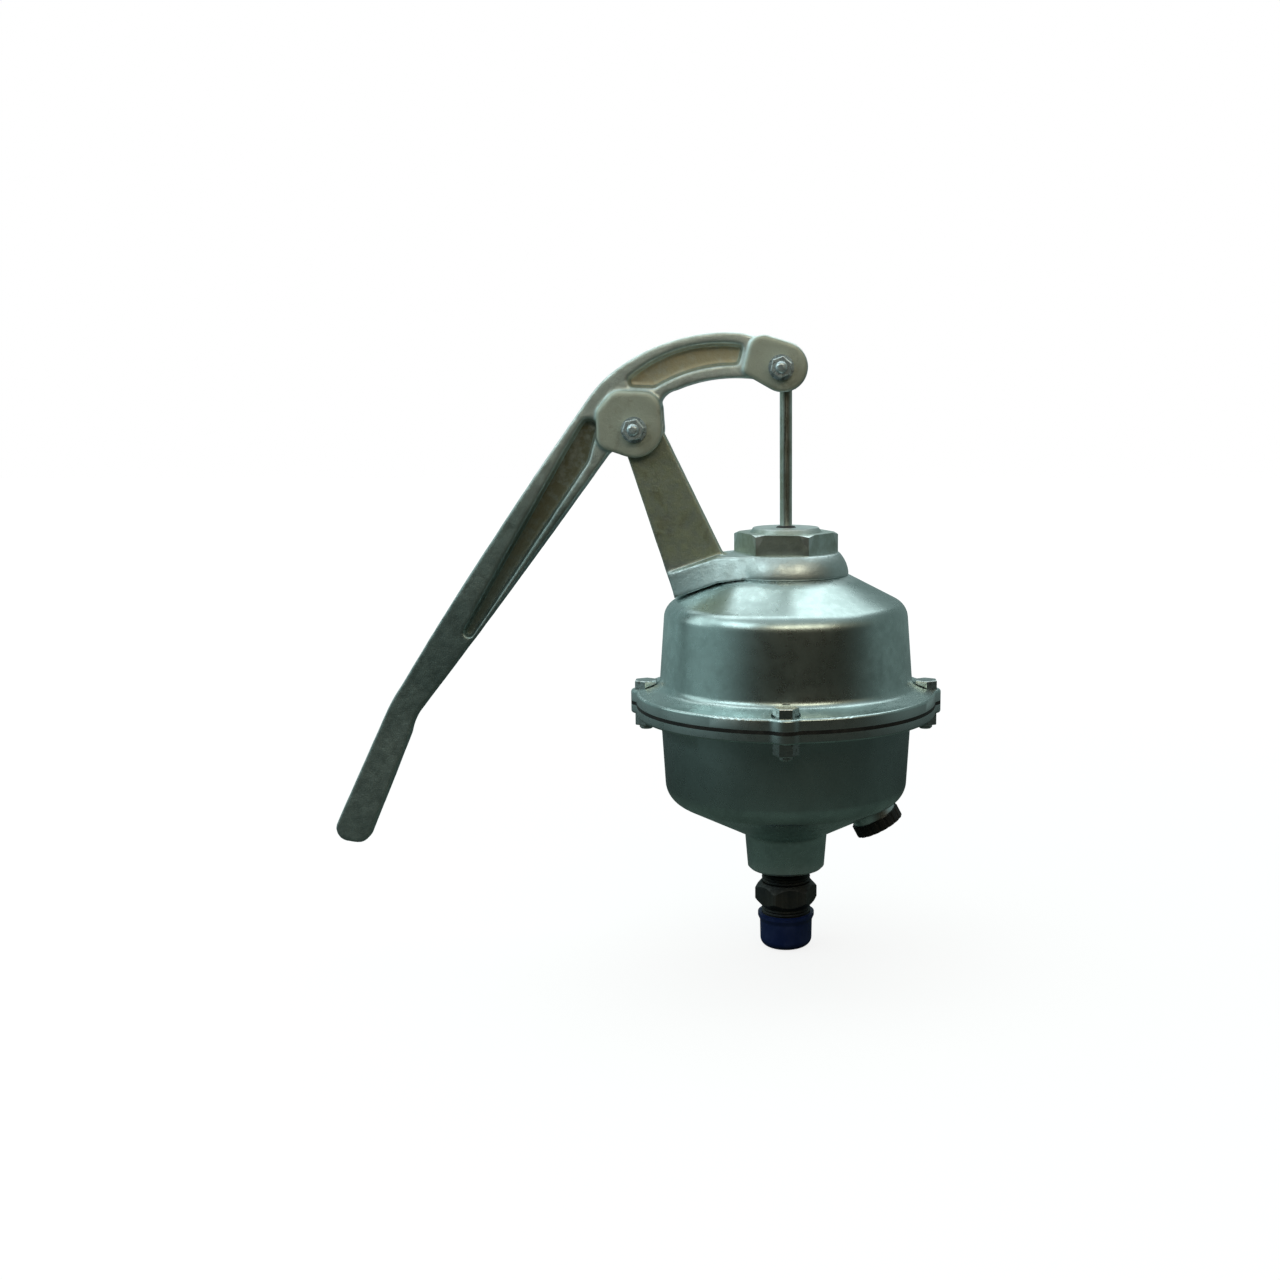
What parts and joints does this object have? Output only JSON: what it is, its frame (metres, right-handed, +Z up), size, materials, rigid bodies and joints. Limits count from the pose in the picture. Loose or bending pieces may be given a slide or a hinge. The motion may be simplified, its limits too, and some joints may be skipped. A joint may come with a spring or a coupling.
{
  "type": "hand diaphragm priming pump",
  "caption": "Hand pump with two bolted cast bowls, a rubber diaphragm between them, a forked cast lever on a side bracket, a rod, two check valves and a bottom suction nipple.",
  "frame": {"origin": "on the pump's axis, at the lower end of the suction nipple", "axes": "+Z up along the pump's axis; -X towards the lever's handle; the lever swings in the XZ plane; -Y is the side the pivot nuts face"},
  "size_m": [0.4131, 0.21, 0.4176],
  "materials": {
    "cast_aluminium": "as-cast, tumbled, dull",
    "zinc_steel": "zinc plated",
    "rod_steel": "plated round bar",
    "black_rubber": "matte",
    "black_iron": "black malleable iron",
    "blue_plastic": "soft moulded polyethylene",
    "brass": "turned brass",
    "nylon": "natural nylon"
  },
  "bodies": {
    "pump_body": {"lower_bowl": "cast_aluminium", "upper_bowl": "cast_aluminium", "diaphragm": "black_rubber", "flange_bolts": "zinc_steel", "flange_nuts": "zinc_steel", "lever_bracket": "cast_aluminium", "gland_nut": "cast_aluminium", "rod_guide": "nylon", "rod_wiper": "black_rubber", "hex_nipple": "black_iron", "inlet_seat": "brass", "outlet_valve_screw": "zinc_steel", "outlet_stop_washer": "zinc_steel"},
    "lever": {"lever": "cast_aluminium", "fulcrum_bolt": "zinc_steel", "fulcrum_nut": "zinc_steel", "fulcrum_washers": "zinc_steel", "rod_pin_bolt": "zinc_steel", "rod_pin_nut": "zinc_steel", "rod_pin_washers": "zinc_steel"},
    "piston_rod": {"piston_rod": "rod_steel", "upper_diaphragm_plate": "zinc_steel", "lower_diaphragm_plate": "zinc_steel", "upper_rod_nut": "zinc_steel", "lower_rod_nut": "zinc_steel"},
    "inlet_valve": {"inlet_valve_disc": "black_rubber", "inlet_valve_stem": "brass", "inlet_valve_nut": "brass"},
    "outlet_valve": {"outlet_valve_disc": "black_rubber"},
    "thread_cap": {"thread_cap": "blue_plastic"}
  },
  "joints": [
    {"name": "lever_pivot", "type": "hinge", "parent": "pump_body", "child": "lever", "pos_m": [-0.099, 0, 0.353], "axis": [0, 1, 0], "range_deg": [0, 40]},
    {"name": "rod_slide", "type": "slide", "parent": "pump_body", "child": "piston_rod", "axis": [0, 0, -1], "range_m": [0, 0.07137], "deforming": ["diaphragm"]},
    {"name": "inlet_valve_lift", "type": "slide", "parent": "pump_body", "child": "inlet_valve", "axis": [0, 0, 1], "range_m": [0, 0.005]},
    {"name": "outlet_valve_lift", "type": "slide", "parent": "pump_body", "child": "outlet_valve", "axis": [0.4617, 0, -0.887], "range_m": [0, 0.003], "stiffness_N_per_m": 200, "springref_m": -0.003},
    {"name": "cap_pull", "type": "slide", "parent": "pump_body", "child": "thread_cap", "axis": [0, 0, -1], "range_m": [0, 0.04]}
  ],
  "couplings": [
    {"joint": "rod_slide", "follows": "lever_pivot", "m_per_rad": 0.10179}
  ]
}
